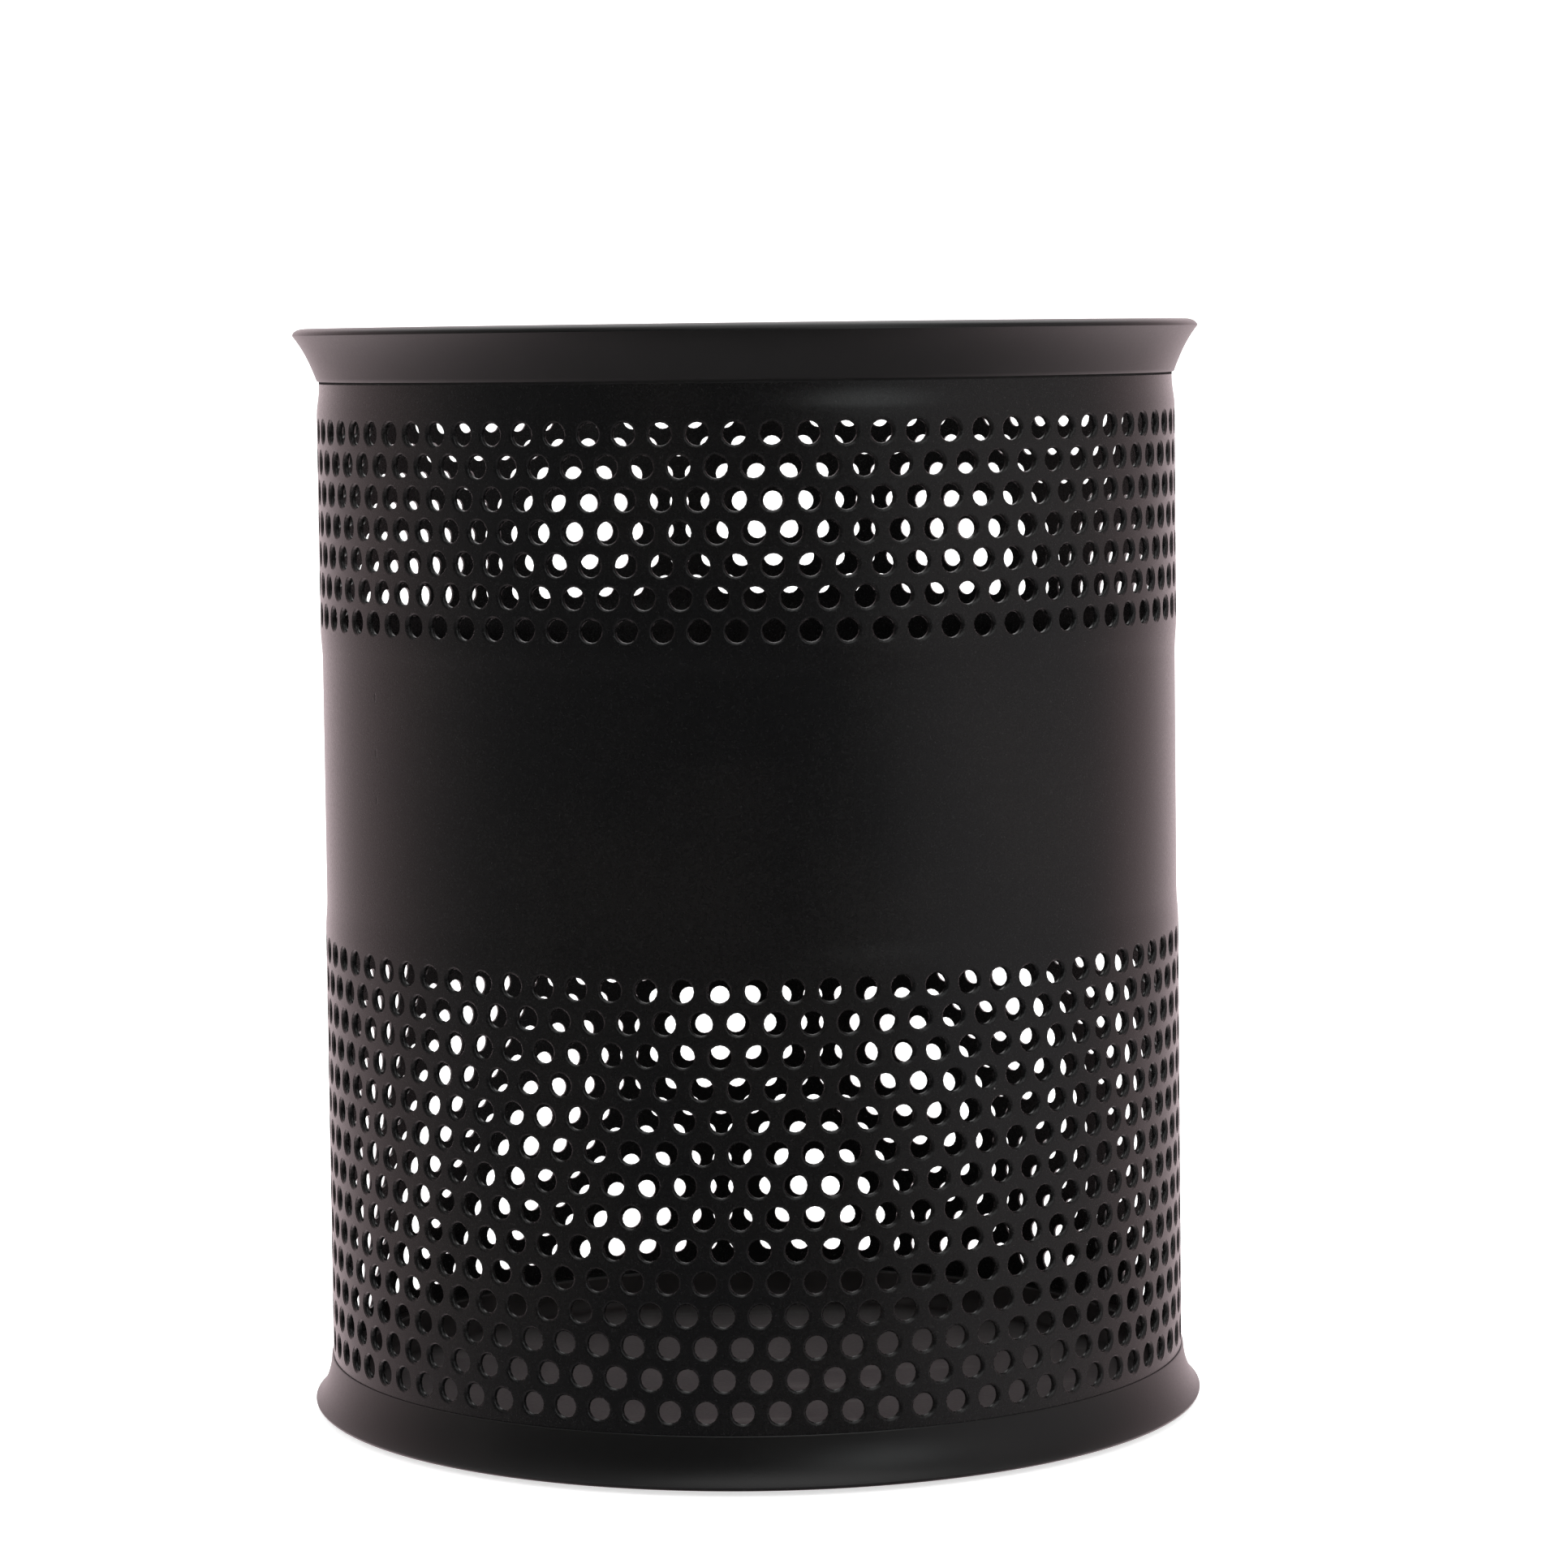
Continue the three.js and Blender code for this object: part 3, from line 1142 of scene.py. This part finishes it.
@dataclass
class FloorPan(SpunPiece):
    """The pressed floor: a shallow pan with a rounded corner, resting on the base ring's ledge."""

    node: str = "floor_pan"
    name: str = "floor_pressed_pan"
    slot: Slot = Slot.FLOOR
    outer_radius: float = 38.2 * MM
    thickness: float = 0.5 * MM
    corner: float = 1.8 * MM
    underside: float = 0.6 * MM
    top: float = 4.2 * MM
    edge_round: float = 0.1 * MM

    def section(self) -> Section:
        """The pan's section, from the axis along the underside and back over the top.

        Returns:
            The points in order.
        """
        centre = (self.outer_radius - self.corner, self.underside + self.corner)
        inside = self.outer_radius - self.thickness
        return [
            (0.0, self.underside),
            *arc(centre, self.corner, -90, 0, CORNER_STEPS),
            (self.outer_radius, self.top - self.edge_round),
            (self.outer_radius - self.edge_round, self.top),
            (inside + self.edge_round, self.top),
            (inside, self.top - self.edge_round),
            *arc(centre, self.corner - self.thickness, 0, -90, CORNER_STEPS),
            (0.0, self.underside + self.thickness),
        ]

    def finish(self) -> bpy.types.Material:
        """The pan's dull coat."""
        return FloorCoat().material()


def finish_piece(
    piece: bpy.types.Object, name: str, node: str, material: bpy.types.Material
) -> bpy.types.Object:
    """Names a finished piece, dresses it and puts it in its CAD node's place.

    Args:
        piece: The finished mesh object.
        name: The piece's name.
        node: The CAD node that it stands for.
        material: Its finish.

    Returns:
        The piece.
    """
    piece.name = name
    piece.data.name = name
    piece.data.materials.clear()
    piece.data.materials.append(material)
    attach(piece, BODY)
    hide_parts(node)
    piece.data.calc_loop_triangles()
    LOG.info("%s: %d triangles", name, len(piece.data.loop_triangles))
    return piece


# The studio


@dataclass(frozen=True)
class Glow:
    """A soft light that fills a round patch of the room; angles are in degrees."""

    azimuth: float
    elevation: float
    reach: float
    colour: Colour

    def mask(self, room: Graph) -> Signal:
        """Where in the room the light is.

        Args:
            room: The room's nodes.

        Returns:
            One at the light's middle, smoothly down to zero at its reach.
        """
        a, e = math.radians(self.azimuth), math.radians(self.elevation)
        along = math.sin(a) * math.cos(e), -math.cos(a) * math.cos(e), math.sin(e)
        towards = room.x * along[0] + room.y * along[1] + room.z * along[2]
        return towards.fade(1.0, math.cos(math.radians(self.reach)))


@dataclass(frozen=True)
class RoomLight:
    """The soft light all round the cup: a bright backdrop, a dim front and a lit table.

    The walls and the table are given as radiance from the front round to the back, where zero
    is straight in front, one is straight behind and a half is at either side. An edge gives the
    sines of the elevations where that part of the room is whole and where it has faded out.
    """

    walls: tuple[tuple[float, Colour], ...] = (
        (0.0, grey(0.022, 0.0, 0.06)),
        (0.15, grey(0.042)),
        (0.35, grey(0.1, 0.02)),
        (0.48, grey(0.2, 0.1)),
        (0.6, grey(0.3, 0.2)),
        (0.71, grey(0.4, 0.26, 0.02)),
        (0.85, grey(0.56, 0.25, 0.03)),
        (0.95, grey(0.95, 0.23, 0.04)),
        (1.0, grey(1.3, 0.2, 0.04)),
    )
    table: tuple[tuple[float, Colour], ...] = (
        (0.0, grey(0.2, 0.02, 0.03)),
        (0.25, grey(0.25, 0.1, 0.02)),
        (0.5, grey(0.52, 0.17, 0.03)),
        (0.75, grey(1.1, 0.2, 0.03)),
        (1.0, grey(1.6, 0.2, 0.04)),
    )
    table_edge: tuple[float, float] = (-0.6, -0.12)
    ceiling: Colour = grey(0.22)
    ceiling_edge: tuple[float, float] = (0.85, 0.4)
    underneath: Colour = grey(0.06)
    underneath_edge: tuple[float, float] = (-1.0, -0.78)
    glows: tuple[Glow, ...] = (
        Glow(72, 6, 48, grey(0.36, 0.05, 0.02)),
        Glow(33, 21, 20, grey(1.1, -0.04)),
        Glow(20, 64, 34, grey(1.0)),
        Glow(180, 58, 40, grey(1.9)),
    )

    def hang(self, scene: bpy.types.Scene) -> None:
        """Makes this the scene's world.

        Args:
            scene: The scene.
        """
        world = bpy.data.worlds.new("studio_room")
        room = Graph(world, "Generated")
        behind = room.y * 0.5 + 0.5
        light = room.ramp(behind, self.walls)
        light = room.blend(room.z.fade(*self.ceiling_edge), light, self.ceiling)
        for glow in self.glows:
            light = room.blend(glow.mask(room), light, glow.colour)
        table = room.ramp(behind, self.table)
        light = room.blend(room.z.fade(*self.table_edge), light, table)
        light = room.blend(room.z.fade(*self.underneath_edge), light, self.underneath)
        shader = room.node("ShaderNodeBackground", {}, {"Color": light})
        room.node("ShaderNodeOutputWorld", {}, {"Surface": shader.outputs[0]})
        scene.world = world
        scene.view_settings.view_transform = "Standard"


@dataclass
class Studio:
    """A plain pale floor with a cove all round it, soft light and the camera."""

    floor_radius: float = 2.6
    floor_sides: int = 96
    floor_inset: float = 1.04
    outer_share: float = 0.99
    wall_height: float = 2.6
    cove_radius: float = 1.0
    cove_steps: int = 12
    paper: Colour = grey(0.86)
    paper_glow: float = 0.72
    paper_roughness: float = 0.9
    fibre_size: float = 4 * MM
    fibre_dullness: float = 0.05
    light: RoomLight = field(default_factory=RoomLight)
    camera_place: Vector = field(default_factory=lambda: Vector((-1.05, -445.0, 99.6)) * MM)
    camera_yaw: float = 0.559
    camera_pitch: float = -3.67
    camera_roll: float = -0.706
    lens: float = 109.04
    sensor: float = 36.0
    shift_y: float = -0.09

    def build(self) -> None:
        """Sets up the floor, the light and the camera."""
        self.build_cove()
        self.light.hang(bpy.context.scene)
        self.build_camera()

    def build_cove(self) -> None:
        """The pale floor, rising all round into a wall."""
        outside = self.floor_radius * self.outer_share
        deselect_objects()
        bpy.ops.mesh.primitive_circle_add(
            vertices=self.floor_sides, radius=self.floor_radius, fill_type="NGON"
        )
        cove = bpy.context.active_object
        cove.name = "studio_cove"
        with editing(cove):
            bpy.ops.mesh.select_all(action="SELECT")
            bpy.ops.mesh.inset(thickness=self.floor_inset)
            pick(Pick.VERTICES, lambda p: p.length > outside)
            draw_out(z=self.wall_height)
            pick(Pick.EDGES, lambda p: near(p.z, 0) and p.length > outside)
            bpy.ops.mesh.bevel(offset=self.cove_radius, segments=self.cove_steps)
            bpy.ops.mesh.select_all(action="SELECT")
            bpy.ops.mesh.normals_make_consistent(inside=True)
        bpy.ops.object.shade_smooth()
        cove.visible_glossy = False
        graph = Graph(bpy.data.materials.new("studio_paper"))
        fibre = graph.noise(self.fibre_size)
        cove.data.materials.append(
            graph.surface(
                {
                    "Base Color": self.paper,
                    "Roughness": self.paper_roughness + fibre * self.fibre_dullness,
                    "Emission Color": self.paper,
                    "Emission Strength": self.paper_glow,
                }
            )
        )

    def build_camera(self) -> None:
        """The camera at the photograph's place and angle."""
        data = bpy.data.cameras.new("camera")
        data.lens, data.sensor_width, data.shift_y = self.lens, self.sensor, self.shift_y
        camera = bpy.data.objects.new("camera", data)
        bpy.context.scene.collection.objects.link(camera)
        turn = Euler((0, 0, -math.radians(self.camera_yaw))).to_matrix()
        tilt = Euler((math.radians(90 + self.camera_pitch), 0, 0)).to_matrix()
        roll = Euler((0, 0, math.radians(self.camera_roll))).to_matrix()
        camera.matrix_world = Matrix.Translation(self.camera_place) @ (turn @ tilt @ roll).to_4x4()
        bpy.context.scene.camera = camera


def main() -> None:
    """Builds the studio and the cup's pieces in order."""
    logging.basicConfig(level=logging.INFO, format="%(name)s: %(message)s")
    Studio().build()
    for part in (BaseRing(), FloorPan(), PerforatedSheet(), TopRim()):
        part.build()


if __name__ == "__main__":
    main()
